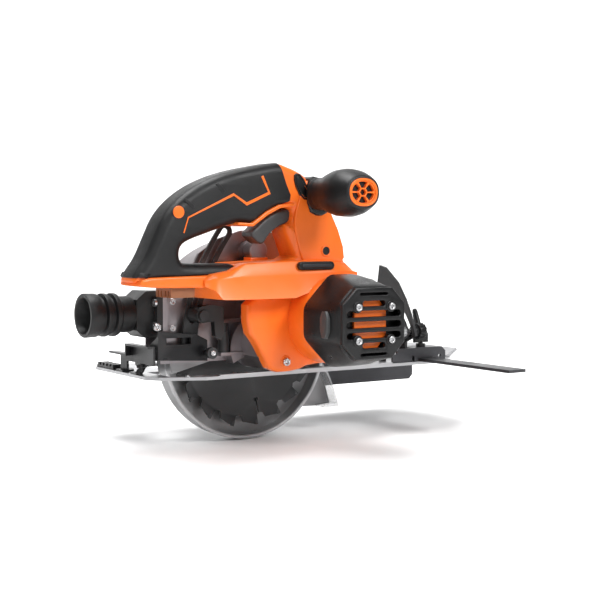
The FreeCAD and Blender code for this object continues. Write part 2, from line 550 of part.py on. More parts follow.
def gear_case():
    """Cast case: front wall with the spindle boss, side wall, and open to the motor plate."""
    y_front = BLADE_Y - HOOD_HALF
    solid = slab("y", CASE_OUTLINE, BLADE_Y - 55, y_front)
    cavity = join(rod("y", *ARBOR, 17.2, BLADE_Y - 56, y_front - 5),
                  rod("y", *IDLER, 26.2, BLADE_Y - 56, y_front - 5),
                  rod("y", MOTOR_X, MOTOR_Z, 30, BLADE_Y - 56, y_front - 5))
    boss = rod("y", *ARBOR, 17.0, y_front, BLADE_Y - 8)
    bridge = join(rod("y", *ARBOR, 13.5, BLADE_Y - 43, BLADE_Y - 36.5),
                  box(-21, 13.5, BLADE_Y - 43, BLADE_Y - 36.5, 7, ARBOR_Z).common(solid))
    crescent = sector("y", ARBOR, 17.5, 33.5, 98, 205, BLADE_Y - 28, y_front)
    lugs = [box(-46, -16, BLADE_Y - 31, BLADE_Y - 19, z, z + 3) for z in (20, 52)]
    solid = join(solid, crescent, *lugs)
    body = less(join(less(solid, cavity), boss, bridge), rod("y", *ARBOR, 11, BLADE_Y - 44, BLADE_Y - 36),
                *case_screw_holes())
    cross = [rod("x", BLADE_Y - 29, ARBOR_Z, LOCK_ROD_R + RUN, 15, 95)]
    return less(body, rod("y", *ARBOR, 14.0, BLADE_Y - 17, BLADE_Y - 7),
                rod("y", *ARBOR, 9, y_front - 6, BLADE_Y - 16), rod("y", *IDLER, 4.0 + RUN, y_front - 6, y_front - 1),
                *cross)


def spindle_front_bearing():
    return ring("y", *ARBOR, 6.0 + RUN, 14.0, BLADE_Y - 16.5, BLADE_Y - 8.5)


def gear_plate():
    """Plate between the gears and the motor; it carries the idler and the inner rotor bearing."""
    y0, y1 = BLADE_Y - 59, BLADE_Y - 55
    plate = slab("y", CASE_OUTLINE, y0, y1)
    return less(plate, rod("y", *IDLER, 4.0 + RUN, y0 - 1, y1 + 1),
                rod("y", MOTOR_X, MOTOR_Z, 11, y0 - 1, y1 + 1), *case_screw_holes())


def small_bearings():
    """Rear spindle bearing and the two rotor bearings, all the same size."""
    return group([ring("y", *ARBOR, 4.0 + RUN, 11, BLADE_Y - 43, BLADE_Y - 36.5),
                  ring("y", MOTOR_X, MOTOR_Z, 4.0 + RUN, 11, BLADE_Y - 61.5, BLADE_Y - 55),
                  ring("y", MOTOR_X, MOTOR_Z, 4.0 + RUN, 11, BLADE_Y - 141, BLADE_Y - 134.5)])


def spindle_lock():
    middle = BLADE_Y - 29
    return join(rod("x", middle, ARBOR_Z, LOCK_ROD_R, 17.2, 95), rod("x", middle, ARBOR_Z, 7.5, 95.5, 101),
                rod("x", middle, ARBOR_Z, LOCK_ROD_R, 94, 97))


# ---- motor ----------------------------------------------------------------------------------------------
def rotor_shaft():
    """Shaft with the pinion cut on its left end."""
    journal = rod("y", MOTOR_X, MOTOR_Z, 4.0, BLADE_Y - 140.5, BLADE_Y - 53)
    toothed = gear(MOTOR_X, MOTOR_Z, PINION_TEETH, MODULE_IN, FROM_MOTOR_DEG, BLADE_Y - 53.5, IN_Y1 + 1, 1.0)
    return join(journal, toothed, rod("y", MOTOR_X, MOTOR_Z, 1.5, BLADE_Y - 54, IN_Y1 + 1))


def rotor_core():
    return ring("y", MOTOR_X, MOTOR_Z, 4.0, 15.5, BLADE_Y - 128, BLADE_Y - 82)


def cooling_fan():
    hub = ring("y", MOTOR_X, MOTOR_Z, 4.0, 9, BLADE_Y - 76, BLADE_Y - 64)
    disc = ring("y", MOTOR_X, MOTOR_Z, 8.5, 29, BLADE_Y - 66, BLADE_Y - 64)
    blades = []
    for i in range(11):
        blade_box = box(MOTOR_X + 12, MOTOR_X + 28.5, BLADE_Y - 75, BLADE_Y - 65.9, MOTOR_Z - 0.6, MOTOR_Z + 0.6)
        blade_box.rotate(V(MOTOR_X, 0, MOTOR_Z), V(0, 1, 0), 360.0 * i / 11)
        blades.append(blade_box)
    return join(hub, disc, *blades)


def stator_core():
    core = ring("y", MOTOR_X, MOTOR_Z, 24, 30.8, BLADE_Y - 127, BLADE_Y - 83)
    poles = []
    for i in range(6):
        pole = box(MOTOR_X + 16.2, MOTOR_X + 25, BLADE_Y - 127, BLADE_Y - 83, MOTOR_Z - 3, MOTOR_Z + 3)
        pole.rotate(V(MOTOR_X, 0, MOTOR_Z), V(0, 1, 0), 60.0 * i)
        poles.append(pole)
    return less(join(core, *poles), rod("y", MOTOR_X, MOTOR_Z, 16.2, BLADE_Y - 128, BLADE_Y - 82))


def stator_winding():
    """Six coils on the poles, linked by the end turns."""
    coils = []
    for i in range(6):
        outer = box(MOTOR_X + 17, MOTOR_X + 23.0, BLADE_Y - 131, BLADE_Y - 79, MOTOR_Z - 6.0, MOTOR_Z + 6.0)
        inner = box(MOTOR_X + 16, MOTOR_X + 24, BLADE_Y - 127, BLADE_Y - 83, MOTOR_Z - 3, MOTOR_Z + 3)
        coil = less(outer, inner)
        coil.rotate(V(MOTOR_X, 0, MOTOR_Z), V(0, 1, 0), 60.0 * i)
        coils.append(coil)
    ends = [ring("y", MOTOR_X, MOTOR_Z, 19, 23, lo, lo + 3) for lo in (BLADE_Y - 131, BLADE_Y - 82)]
    return join(coils[0], *coils[1:], *ends)


def octagon(half_x, half_z, corner):
    x, z = MOTOR_X, MOTOR_Z
    return [(x - half_x, z - half_z + corner), (x - half_x + corner, z - half_z),
            (x + half_x - corner, z - half_z), (x + half_x, z - half_z + corner),
            (x + half_x, z + half_z - corner), (x + half_x - corner, z + half_z),
            (x - half_x + corner, z + half_z), (x - half_x, z + half_z - corner)]


SCREW_POSTS = [(MOTOR_X + sx * 19, MOTOR_Z + sz * 16) for sx in (-1, 1) for sz in (-1, 1)]


def tapered_octagon(grow, y_wide, y_narrow):
    def wire(half_x, half_z, corner, y):
        corners = [V(x, y, z) for x, z in octagon(half_x, half_z, corner)]
        return Part.makePolygon(corners + corners[:1])
    wide = wire(BARREL_R + grow, BARREL_R - 1 + grow, 25 + grow * 0.6, y_wide)
    narrow = wire(36 + grow, 33.5 + grow, 15 + grow * 0.6, y_narrow)
    return Part.makeLoft([wide, narrow], True, True)


def intake_slots():
    half_widths = [31, 30, 12, 17, 12, 30, 31]
    slots = []
    for i, half in enumerate(half_widths):
        z = MOTOR_Z + 8.2 * (i - 3)
        slots.append(box(MOTOR_X - half, MOTOR_X + half, GRILLE_END - 1, CAP_END + 2.61, z - 2.4, z + 2.4))
    return slots


def motor_cap():
    """End cap: a faceted cup that narrows to the intake grille and seats the outer rotor bearing."""
    cup = less(tapered_octagon(0, CAP_START, CAP_END), tapered_octagon(-2.6, CAP_START + 0.01, CAP_END + 2.6))
    plate = slab("y", octagon(36, 33.5, 15), GRILLE_END, CAP_END + 0.1)
    inside = tapered_octagon(-1, CAP_START, CAP_END)
    cross = box(MOTOR_X - 36, MOTOR_X + 36, BLADE_Y - 144, BLADE_Y - 141, MOTOR_Z - 3, MOTOR_Z + 3).common(inside)
    seat = rod("y", MOTOR_X, MOTOR_Z, 13.5, BLADE_Y - 144, BLADE_Y - 134.5)
    posts = [rod("y", x, z, 4, GRILLE_END, BLADE_Y - 136) for x, z in SCREW_POSTS]
    webs = [box(MOTOR_X - 38, MOTOR_X + 38, BLADE_Y - 140, BLADE_Y - 137, MOTOR_Z + sz * 16 - 1.5,
                MOTOR_Z + sz * 16 + 1.5).common(inside) for sz in (-1, 1)]
    posts_in = less(join(webs[0], webs[1]), rod("y", MOTOR_X, MOTOR_Z, 12.5, BLADE_Y - 145, BLADE_Y - 133))
    cap = less(join(cup, plate), *intake_slots())
    cap = join(cap, cross, seat, posts_in, *posts)
    holes = [rod("y", x, z, 1.6, GRILLE_END - 1, BLADE_Y - 135) for x, z in SCREW_POSTS]
    return less(cap, rod("y", MOTOR_X, MOTOR_Z, 11, BLADE_Y - 141, BLADE_Y - 133), *holes)


def grille_screws():
    return group([socket_screw("y", x, z, 1.6, GRILLE_END, BLADE_Y - 138, True) for x, z in SCREW_POSTS])


def air_baffle():
    """Cover behind the grille that shields the rotor bearing."""
    return slab("y", octagon(14, 11.5, 6), BLADE_Y - 145.4, BLADE_Y - 144)


# ---- housing ------------------------------------------------------------------------------------------------
HANDLE_OUT = [(-160, 97), (-146, 116), (-137, 135), (-128, 154), (-114, 169), (-93, 183), (-62, 195),
              (-18, 203.5), (-5, 205), (4, 202), (16, 198), (27, 192), (33, 180), (57, 145), (75, 102),
              (74, 92), (-158, 92)]
HANDLE_HOLE = [(-107, 109), (13, 111), (7, 127), (-1, 146), (8, 149), (9, 163), (-8, 163.5), (-20, 157),
               (-34, 146.5), (-49, 148.5), (-57, 148), (-81, 140), (-106, 132), (-113, 125), (-113, 114)]
DECK = [(-104, 96), (-97, 100), (-89, 109), (-20, 112), (14, 111), (60, 113), (75, 102),
        (74, 93), (40, 93), (20, 84), (-2, 78), (-92, 78), (-97, 89), (-104, 91)]
TAIL = [(-163, 94), (-160, 98), (-96, 99), (-96, 89), (-161, 90)]
BODY = [(-48, 79), (-48, 48), (-30, 33), (-26, 22), (-14, 4.5), (16, 4.5), (32, 11), (71, 11), (91, 33),
        (91, 76), (68, 96), (30, 98), (4, 84)]


def in_handle(margin):
    """The closed outline of the handle loop, moved inwards by a margin, as a face with a hole."""
    outer = Part.Face(Part.makePolygon([V(x, 0, z) for x, z in HANDLE_OUT + HANDLE_OUT[:1]]))
    hole = Part.Face(Part.makePolygon([V(x, 0, z) for x, z in HANDLE_HOLE + HANDLE_HOLE[:1]]))
    if margin:
        outer = outer.makeOffset2D(-margin)
        hole = hole.makeOffset2D(margin)
    return outer.cut(hole)


def handle_loop(margin, half):
    face = in_handle(margin).Faces[0]
    face.translate(V(0, GRIP_Y - half, 0))
    return face.extrude(V(0, 2 * half, 0))


def grip_zone(lo, hi):
    """The part of the handle that the rubber covers: behind the front border line."""
    return slab("y", [(-190, 98.4), (-80, 99.4), (-74, 104), (-86, 109.6), (-45, 140), (-26, 157.5), (-6, 165.5),
                      (7, 170), (-2, 189), (-10, 210), (-190, 210)], lo, hi)


TRIGGER_PIVOT = (11.0, 156.5)
TRIGGER = [(-34, 139), (-27, 143), (-20, 150), (-9, 156.5), (3, 160.5), (13, 161), (14.5, 151), (3, 149.5),
           (-9, 145), (-17, 137.5), (-21, 130.5), (-25, 129.5)]
TRIGGER_ROOM = [(-42, 137), (-42, 150), (-24, 166), (-10, 168), (16.5, 168), (16.5, 148.5), (-3, 140), (-18, 136)]
LOCK_FACE = [(10, 195), (17, 193.5), (26, 176), (24, 171.5), (16, 173), (9.5, 187)]
LOCK_ROOM = [(9.6, 195.6), (17.5, 194.1), (26.7, 176), (24.4, 170.8), (15.6, 172.5), (8.9, 187.2)]
HANDLE_AXIS = (33.0, 176.0)
KEY_Z = 107.5
SHELL_SCREWS = [(-134, 112), (-104, 160), (-55, 172), (43, 150)]
CASE_SCREWS = [(-11, 56, -17, -5), (3, 70, -17, -5), (3, 15, -28, -13.5), (76, 77, -17, -5), (76, 33, -17, -5)]


def case_screw_holes():
    return [rod("y", x, z, 2.0, lo - 1, hi) for x, z, lo, hi in CASE_SCREWS]


def shell_screws():
    """Screws that hold the two shells together and hold them to the gear case."""
    screws = [socket_screw("y", x, z, 2.0, GRIP_Y - 12, GRIP_Y + 12, True) for x, z in SHELL_SCREWS]
    screws += [socket_screw("y", x, z, 2.0, lo, hi, True) for x, z, lo, hi in CASE_SCREWS]
    return group(screws)


def screw_work(body):
    """Adds the screw posts to a shell and drills them."""
    loop = handle_loop(0, GRIP_HALF - 1.5)
    posts = [rod("y", x, z, 5.5, GRIP_Y - 20, GRIP_Y + 20).common(loop) for x, z in SHELL_SCREWS]
    body = join(body, *posts)
    holes = []
    for x, z in SHELL_SCREWS:
        holes.append(rod("y", x, z, 2.0, GRIP_Y - 13, GRIP_Y + 12))
        holes.append(rod("y", x, z, 4.0, GRIP_Y - 30, GRIP_Y - 12))
    for x, z, lo, hi in CASE_SCREWS:
        holes.append(rod("y", x, z, 4.0, lo - 3, lo))
    return less(body, *holes, *case_screw_holes())


def shell_hollow():
    """Everything inside the two shells that is empty."""
    skin = 1.6
    loop = handle_loop(SHELL_T + skin, GRIP_HALF - SHELL_T - skin)
    loop = less(loop, box(-250, 150, GRIP_Y - 60, GRIP_Y + 60, -10, 90))
    deck = slab("y", [(-96, 92), (-88, 81), (0, 81), (34, 97), (68, 99), (56, 109), (-14, 108),
                      (-85, 105), (-95, 96)], DECK_RIGHT + 8.5, DECK_LEFT - SHELL_T)
    tail = box(-157, -94, GRIP_Y - 18.4, GRIP_Y + 18.4, 92, 95.4)
    return join(loop, deck, tail)


def housing(side):
    """One half of the clamshell: side is -1 for the motor side and 1 for the blade side."""
    lo, hi = (GRIP_Y - 60, GRIP_Y) if side < 0 else (GRIP_Y, GRIP_Y + 60)
    half_space = box(-250, 150, lo, hi, -10, 260)
    handle = handle_loop(0, GRIP_HALF)
    rubber_room = less(handle, handle_loop(1.6, GRIP_HALF - 1.6)).common(grip_zone(GRIP_Y - 60, GRIP_Y + 60))
    deck = join(slab("y", DECK, DECK_RIGHT, DECK_LEFT), slab("y", TAIL, GRIP_Y - 21, GRIP_Y + 21))
    body = join(slab("y", BODY, BLADE_Y - 70, BODY_LEFT), rod("y", MOTOR_X, MOTOR_Z, BARREL_R, CAP_START, BODY_LEFT))
    bore = rod("y", MOTOR_X, MOTOR_Z, BARREL_R - SHELL_T, BLADE_Y - 100, BLADE_Y - 59)
    shell = less(join(less(handle, rubber_room), deck, body), shell_hollow(), bore,
                 slab("y", CASE_OUTLINE, BLADE_Y - 59, BLADE_Y - 10))
    shell = screw_work(shell)
    if side < 0:
        shell = join(shell, ring("y", MOTOR_X, MOTOR_Z, 30.8, BARREL_R - 1, BLADE_Y - 92, BLADE_Y - 88))
    else:
        shell = join(shell, rod("y", -8, 121, 10, 2, BLADE_Y - 24), box(-18, 2, 2, DECK_LEFT, 108, 121))
    ribs = [box(x, x + 3, GRIP_Y + side * 8 - (6 if side < 0 else 0), GRIP_Y + side * 8 + (6 if side > 0 else 0),
                166, 192) for x in (-30, -2)]
    stud_post = rod("y", *HANDLE_AXIS, 7, GRIP_Y - GRIP_HALF, GRIP_Y).common(handle_loop(0, GRIP_HALF))
    shell = join(shell, *ribs, stud_post).common(half_space)
    key_groove = box(-1, 90, DECK_RIGHT - 1, DECK_RIGHT + 5.4, KEY_Z - 2.9, KEY_Z + 2.9)
    return less(shell, box(-20, 20, GRIP_Y - 8, GRIP_Y + 8, 88, 98),
                slab("y", TRIGGER_ROOM, GRIP_Y - 10, GRIP_Y + 10),
                slab("y", LOCK_ROOM, GRIP_Y - 20, GRIP_Y + 20),
                rod("y", *TRIGGER_PIVOT, 1.5 + RUN, GRIP_Y - 13, GRIP_Y + 13),
                rod("x", BLADE_Y - 29, ARBOR_Z, LOCK_ROD_R + RUN, 60, 95),
                rod("y", *HANDLE_AXIS, 2.0, GRIP_Y - 30, GRIP_Y - 6),
                key_groove)


def housing_right():
    return housing(-1)


def housing_left():
    return housing(1)


def trigger():
    """Finger lever with moulded trunnions that turn in the two shells."""
    lever = slab("y", TRIGGER, GRIP_Y - 9, GRIP_Y + 9)
    return join(lever, rod("y", *TRIGGER_PIVOT, 1.5, GRIP_Y - 12.9, GRIP_Y + 12.9))


def trigger_spring():
    return ring("z", -14, GRIP_Y, 2.2, 3.2, 155.8, 169)


def power_switch():
    return join(box(-34, 4, GRIP_Y - 8, GRIP_Y + 8, 169, 187), box(-8, -4, GRIP_Y - 4, GRIP_Y + 4, 166, 169))


def grip_rubber():
    """Soft skin over the rear handle, down to the battery deck."""
    skin = less(handle_loop(0, GRIP_HALF), handle_loop(1.5, GRIP_HALF - 1.5))
    above_deck = less(grip_zone(GRIP_Y - 60, GRIP_Y + 60), slab("y", DECK, GRIP_Y - 60, GRIP_Y + 60))
    holes = [rod("y", x, z, 4.0, GRIP_Y - 30, GRIP_Y - 12) for x, z in SHELL_SCREWS]
    return less(skin.common(above_deck), slab("y", TRIGGER_ROOM, GRIP_Y - 10, GRIP_Y + 10), *holes)


def lock_off_button():
    """The safety button that frees the trigger: one bar across the column with a face on each side."""
    bar = slab("y", [(14, 188), (19, 188), (22, 179), (17, 179)], GRIP_Y - 15, GRIP_Y + 15)
    return join(slab("y", LOCK_FACE, GRIP_Y - GRIP_HALF - 1.5, GRIP_Y - GRIP_HALF + 3.5),
                slab("y", LOCK_FACE, GRIP_Y + GRIP_HALF - 3.5, GRIP_Y + GRIP_HALF + 1.5), bar)


def terminal_block():
    """Battery contact block under the deck."""
    block = box(-122, -98, GRIP_Y - 15, GRIP_Y + 15, 80, 89)
    return less(block, *[box(-123, -104, GRIP_Y + y - 1, GRIP_Y + y + 1, 79, 86) for y in (-10, -4, 4, 10)])


def hex_key():
    """Blade wrench kept in the side of the deck."""
    y = DECK_RIGHT + 2.7
    bar = slab("x", [around((y, KEY_Z), 2.6, 60 * i) for i in range(6)], 2, 42)
    return join(bar, Part.makeSphere(2.6, V(42, y, KEY_Z)))


# ---- front handle ------------------------------------------------------------------------------------------
HANDLE_BASE_Y = GRIP_Y - GRIP_HALF - 4.0
HANDLE_SECTIONS = [(0, 12.5, 14.5), (14, 14, 15.5), (38, 20, 21), (56, 22.5, 22), (70, 20, 18), (75, 17.4, 14.4)]


def oval(y, half_x, half_z):
    """A closed smooth oval around the front handle's axis."""
    corners = []
    for i in range(16):
        a = math.pi * i / 8
        corners.append(V(HANDLE_AXIS[0] + half_x * math.cos(a), y, HANDLE_AXIS[1] + half_z * math.sin(a)))
    curve = Part.BSplineCurve()
    curve.interpolate(Points=corners, PeriodicFlag=True)
    return Part.Wire(curve.toShape())


def front_handle():
    grip = Part.makeLoft([oval(HANDLE_BASE_Y - d, hx, hz) for d, hx, hz in HANDLE_SECTIONS], True)
    end = HANDLE_BASE_Y - HANDLE_SECTIONS[-1][0]
    recess = Part.makeLoft([oval(end - 0.1, 15.6, 12.6), oval(end + 6, 15.6, 12.6)], True)
    return less(grip, recess, rod("y", *HANDLE_AXIS, 2.0, HANDLE_BASE_Y - 34, HANDLE_BASE_Y + 1))


def handle_insert():
    """Coloured plug in the end of the front handle, with a rib pattern."""
    end = HANDLE_BASE_Y - HANDLE_SECTIONS[-1][0]
    plug = Part.makeLoft([oval(end, 15.5, 12.5), oval(end + 6, 15.5, 12.5)], True)
    pocket = Part.makeLoft([oval(end - 0.1, 13.2, 10.2), oval(end + 4, 13.2, 10.2)], True)
    ribs = [slab("x", [(end + 0.5, -0.8), (end + 5, -0.8), (end + 5, 0.8), (end + 0.5, 0.8)], 0, 14.2)
            for i in range(3)]
    for i, rib in enumerate(ribs):
        rib.translate(V(HANDLE_AXIS[0], 0, HANDLE_AXIS[1]))
        rib.rotate(V(HANDLE_AXIS[0], 0, HANDLE_AXIS[1]), V(0, 1, 0), 30.0 + 120.0 * i)
    return join(less(plug, pocket), *[rib.common(plug) for rib in ribs])


def handle_flange():
    """Bracket that wraps the front slope of the housing and carries the front handle."""
    near = slab("y", [(22, 188.5), (21, 193), (27, 196), (37, 190), (61, 154), (52, 143), (43, 151), (40, 158),
                      (28, 177.5)], HANDLE_BASE_Y, GRIP_Y - GRIP_HALF)
    strip = slab("y", [(27, 192), (33, 180), (57, 145), (61, 150), (37, 185), (31, 196), (26, 195)],
                 GRIP_Y - GRIP_HALF - 0.5, GRIP_Y + GRIP_HALF)
    body = less(join(near, strip), slab("y", HANDLE_OUT, GRIP_Y - GRIP_HALF, GRIP_Y + 60))
    return less(body, rod("y", *HANDLE_AXIS, 2.0, HANDLE_BASE_Y - 1, GRIP_Y))


def handle_stud():
    return rod("y", *HANDLE_AXIS, 2.0, HANDLE_BASE_Y - 34, GRIP_Y - 6)


# ---- export --------------------------------------------------------------------------------------------------
PIECES = [
    base_plate, base_rivets, bevel_quadrant, front_hinge, rear_channel, rear_rack, bevel_pins, fence_bracket,
    rip_fence, fence_screw,
    front_tilt_bracket, depth_pin, rear_tilt_bracket, depth_guide, bevel_bolt, bevel_lock_lever,
    upper_guard, dust_adapter, dust_cuff, adapter_screws, depth_bolt, depth_lock_lever,
    lower_guard, guard_toe, guard_lever, guard_spring,
    blade, inner_flange, outer_flange, blade_bolt, spindle, output_gear, idler,
    gear_case, gear_plate, spindle_front_bearing, small_bearings, spindle_lock,
    rotor_shaft, rotor_core, cooling_fan, stator_core, stator_winding,
    motor_cap, grille_screws, air_baffle,
    housing_right, housing_left, shell_screws, grip_rubber, trigger, trigger_spring, power_switch,
    lock_off_button, terminal_block, hex_key,
    front_handle, handle_insert, handle_flange, handle_stud,
]


def main():
    os.makedirs("parts", exist_ok=True)
    for piece in PIECES:
        piece().exportStep("parts/" + piece.__name__ + ".step")


main()
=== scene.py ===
"""Looks of the cordless circular saw: detailed pieces around the CAD frame, materials, light and camera."""

import json
import math

import bmesh
import bpy
from mathutils import Matrix, Vector


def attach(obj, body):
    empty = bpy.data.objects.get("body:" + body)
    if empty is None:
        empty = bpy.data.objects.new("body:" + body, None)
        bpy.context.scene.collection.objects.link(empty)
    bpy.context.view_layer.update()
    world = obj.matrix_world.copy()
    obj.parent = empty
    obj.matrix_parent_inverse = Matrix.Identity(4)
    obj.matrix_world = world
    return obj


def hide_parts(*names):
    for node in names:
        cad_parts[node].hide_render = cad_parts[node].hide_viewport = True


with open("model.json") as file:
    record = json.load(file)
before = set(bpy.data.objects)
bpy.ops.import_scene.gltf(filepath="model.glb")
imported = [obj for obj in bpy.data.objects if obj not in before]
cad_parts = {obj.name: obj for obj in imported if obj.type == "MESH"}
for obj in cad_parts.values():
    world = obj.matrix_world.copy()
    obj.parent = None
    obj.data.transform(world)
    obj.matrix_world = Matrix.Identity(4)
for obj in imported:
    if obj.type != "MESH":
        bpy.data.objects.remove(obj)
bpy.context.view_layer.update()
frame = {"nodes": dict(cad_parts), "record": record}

MM = 0.001
BLADE_Y = 42.0
SEAM_Y = -16.0            # middle of the rear handle, where the two shells meet
MOTOR = (48.0, 55.0)
ARBOR = (0.0, 26.0)
ACROSS = {
    "x": Matrix(((0, 0, 1), (1, 0, 0), (0, 1, 0))),
    "y": Matrix(((1, 0, 0), (0, 0, -1), (0, 1, 0))),
    "z": Matrix(((1, 0, 0), (0, 1, 0), (0, 0, 1))),
}


# ---- materials ------------------------------------------------------------------------------
def surface(name, colour, rough, metal=0.0, grain=900.0, bump=0.12, vary=0.12, wear=0.25, coat=0.0, alpha=1.0,
            rings=None):
    """A procedural finish: uneven colour, fine grain, blotchy roughness and lighter worn edges."""
    material = bpy.data.materials.new(name)
    material.use_nodes = True
    nodes, links = material.node_tree.nodes, material.node_tree.links
    shader = nodes["Principled BSDF"]
    shader.inputs["Metallic"].default_value = metal
    shader.inputs["Coat Weight"].default_value = coat
    shader.inputs["Coat Roughness"].default_value = 0.2
    shader.inputs["Alpha"].default_value = alpha
    shader.inputs["Specular IOR Level"].default_value = 0.36
    place = nodes.new("ShaderNodeTexCoord").outputs["Object"]

    def noise(scale, detail):
        node = nodes.new("ShaderNodeTexNoise")
        node.inputs["Scale"].default_value = scale
        node.inputs["Detail"].default_value = detail
        links.new(place, node.inputs["Vector"])
        return node.outputs["Fac"]

    def remap(value, lo, hi, from_lo=0.3, from_hi=0.7):
        node = nodes.new("ShaderNodeMapRange")
        node.inputs["From Min"].default_value = from_lo
        node.inputs["From Max"].default_value = from_hi
        node.inputs["To Min"].default_value = lo
        node.inputs["To Max"].default_value = hi
        links.new(value, node.inputs["Value"])
        return node.outputs["Result"]

    def mix(factor, first, second):
        node = nodes.new("ShaderNodeMix")
        node.data_type = "RGBA"
        links.new(factor, node.inputs["Factor"])
        for socket, value in ((node.inputs[6], first), (node.inputs[7], second)):
            if isinstance(value, tuple):
                socket.default_value = value
            else:
                links.new(value, socket)
        return node.outputs[2]

    dark = tuple(c * (1 - vary) for c in colour) + (1,)
    light = tuple(min(1, c * (1 + vary)) for c in colour) + (1,)
    worn = tuple(min(1, c * 1.25 + 0.05 * wear) for c in colour) + (1,)
    tone = mix(remap(noise(28, 4), 0, 1), dark, light)
    edges = remap(nodes.new("ShaderNodeNewGeometry").outputs["Pointiness"], 0, wear, 0.52, 0.62)
    links.new(mix(edges, tone, worn), shader.inputs["Base Color"])
    links.new(remap(noise(60, 5), rough - 0.06, rough + 0.08), shader.inputs["Roughness"])
    relief = nodes.new("ShaderNodeBump")
    relief.inputs["Strength"].default_value = bump
    relief.inputs["Distance"].default_value = 0.0004
    if rings:
        shift = nodes.new("ShaderNodeVectorMath")
        shift.operation = "DISTANCE"
        flat = nodes.new("ShaderNodeVectorMath")
        flat.operation = "MULTIPLY"
        flat.inputs[1].default_value = (1, 0, 1)
        links.new(place, flat.inputs[0])
        links.new(flat.outputs[0], shift.inputs[0])
        shift.inputs[1].default_value = rings
        stretch = nodes.new("ShaderNodeTexNoise")
        stretch.noise_dimensions = "1D"
        stretch.inputs["Scale"].default_value = grain
        links.new(shift.outputs["Value"], stretch.inputs["W"])
        links.new(stretch.outputs["Fac"], relief.inputs["Height"])
    else:
        links.new(noise(grain, 3), relief.inputs["Height"])
    links.new(relief.outputs["Normal"], shader.inputs["Normal"])
    return material


FINISH = {
    "orange": surface("orange", (0.84, 0.150, 0.012), 0.34, grain=2200, bump=0.10, vary=0.05, wear=0.3, coat=0.12),
    "black_plastic": surface("black_plastic", (0.0045, 0.0045, 0.005), 0.32, grain=2600, bump=0.22, wear=0.5),
    "black_rubber": surface("black_rubber", (0.005, 0.005, 0.0055), 0.40, grain=3200, bump=0.35, wear=0.35),
    "grey_plastic": surface("grey_plastic", (0.045, 0.047, 0.048), 0.38, grain=2400, bump=0.12),
    "brown_plastic": surface("brown_plastic", (0.22, 0.085, 0.035), 0.45, grain=2400, bump=0.15),
    "silver_base": surface("silver_base", (0.42, 0.42, 0.43), 0.34, metal=0.9, grain=1500, bump=0.08, vary=0.06),
    "steel": surface("steel", (0.55, 0.55, 0.56), 0.28, metal=1.0, grain=1800, bump=0.10, vary=0.08),
    "dark_steel": surface("dark_steel", (0.008, 0.008, 0.009), 0.32, metal=0.3, grain=1800, bump=0.15, wear=0.8),
    "grey_metal": surface("grey_metal", (0.030, 0.030, 0.034), 0.36, metal=0.4, grain=1500, bump=0.12, wear=0.6),
    "cast_grey": surface("cast_grey", (0.30, 0.275, 0.285), 0.34, metal=0.85, grain=700, bump=0.12, vary=0.10),
    "guard_grey": surface("guard_grey", (0.26, 0.26, 0.265), 0.38, metal=0.5, grain=1200, bump=0.10, vary=0.08),
    "gear_steel": surface("gear_steel", (0.32, 0.32, 0.33), 0.34, metal=1.0, grain=1500, bump=0.12),
    "copper": surface("copper", (0.60, 0.20, 0.07), 0.35, metal=0.9, grain=1800, bump=0.25),
    "clear_lip": surface("clear_lip", (0.50, 0.51, 0.52), 0.16, grain=900, bump=0.04, vary=0.05, alpha=0.42, coat=0.5),
    "carbide_blade": surface("carbide_blade", (0.009, 0.009, 0.010), 0.34, metal=0.4, grain=1400, bump=0.25,
                             rings=(0, 0, 0.026), wear=0.8),
}


# ---- mesh helpers ---------------------------------------------------------------------------
def chaikin(points, rounds=2):
    """Rounds off a closed outline by cutting its corners."""
    for _ in range(rounds):
        cut = []
        for (ax, ay), (bx, by) in zip(points, points[1:] + points[:1]):
            cut.append((ax * 0.75 + bx * 0.25, ay * 0.75 + by * 0.25))
            cut.append((ax * 0.25 + bx * 0.75, ay * 0.25 + by * 0.75))
        points = cut
    return points


def circle(u, v, r, n=48, start=0.0):
    return [(u + r * math.cos(start + 2 * math.pi * i / n), v + r * math.sin(start + 2 * math.pi * i / n))
            for i in range(n)]


def evaluated(obj):
    mesh = bpy.data.meshes.new_from_object(obj.evaluated_get(bpy.context.evaluated_depsgraph_get()))
    bpy.data.objects.remove(obj)
    return mesh


def plate(outline, lo, hi, edge=0.6, holes=(), across="y", steps=3, grow=0.0):
    """A flat outline with holes, extruded along an axis, with rounded edges. Sizes in mm."""
    data = bpy.data.curves.new("outline", "CURVE")
    data.dimensions = "2D"
    data.fill_mode = "BOTH"
    data.extrude = max((hi - lo) / 2 - edge, 0.01) * MM
    data.bevel_depth = edge * MM
    data.offset = (grow - edge) * MM
    data.bevel_resolution = steps
    for ring in [outline] + list(holes):
        line = data.splines.new("POLY")
        line.points.add(len(ring) - 1)
        for spot, (u, v) in zip(line.points, ring):
            spot.co = (u * MM, v * MM, 0, 1)
        line.use_cyclic_u = True
    obj = bpy.data.objects.new("outline", data)
    bpy.context.collection.objects.link(obj)
    bpy.context.view_layer.update()
    mesh = evaluated(obj)
    middle = (lo + hi) / 2 * MM
    turn = ACROSS[across].to_4x4()
    shift = {"x": (middle, 0, 0), "y": (0, middle, 0), "z": (0, 0, middle)}[across]
    mesh.transform(Matrix.Translation(shift) @ turn)
    return tidy(mesh)


def tidy(mesh):
    work = bmesh.new()
    work.from_mesh(mesh)
    bmesh.ops.remove_doubles(work, verts=work.verts, dist=0.00002)
    bmesh.ops.recalc_face_normals(work, faces=work.faces)
    work.to_mesh(mesh)
    work.free()
    return mesh


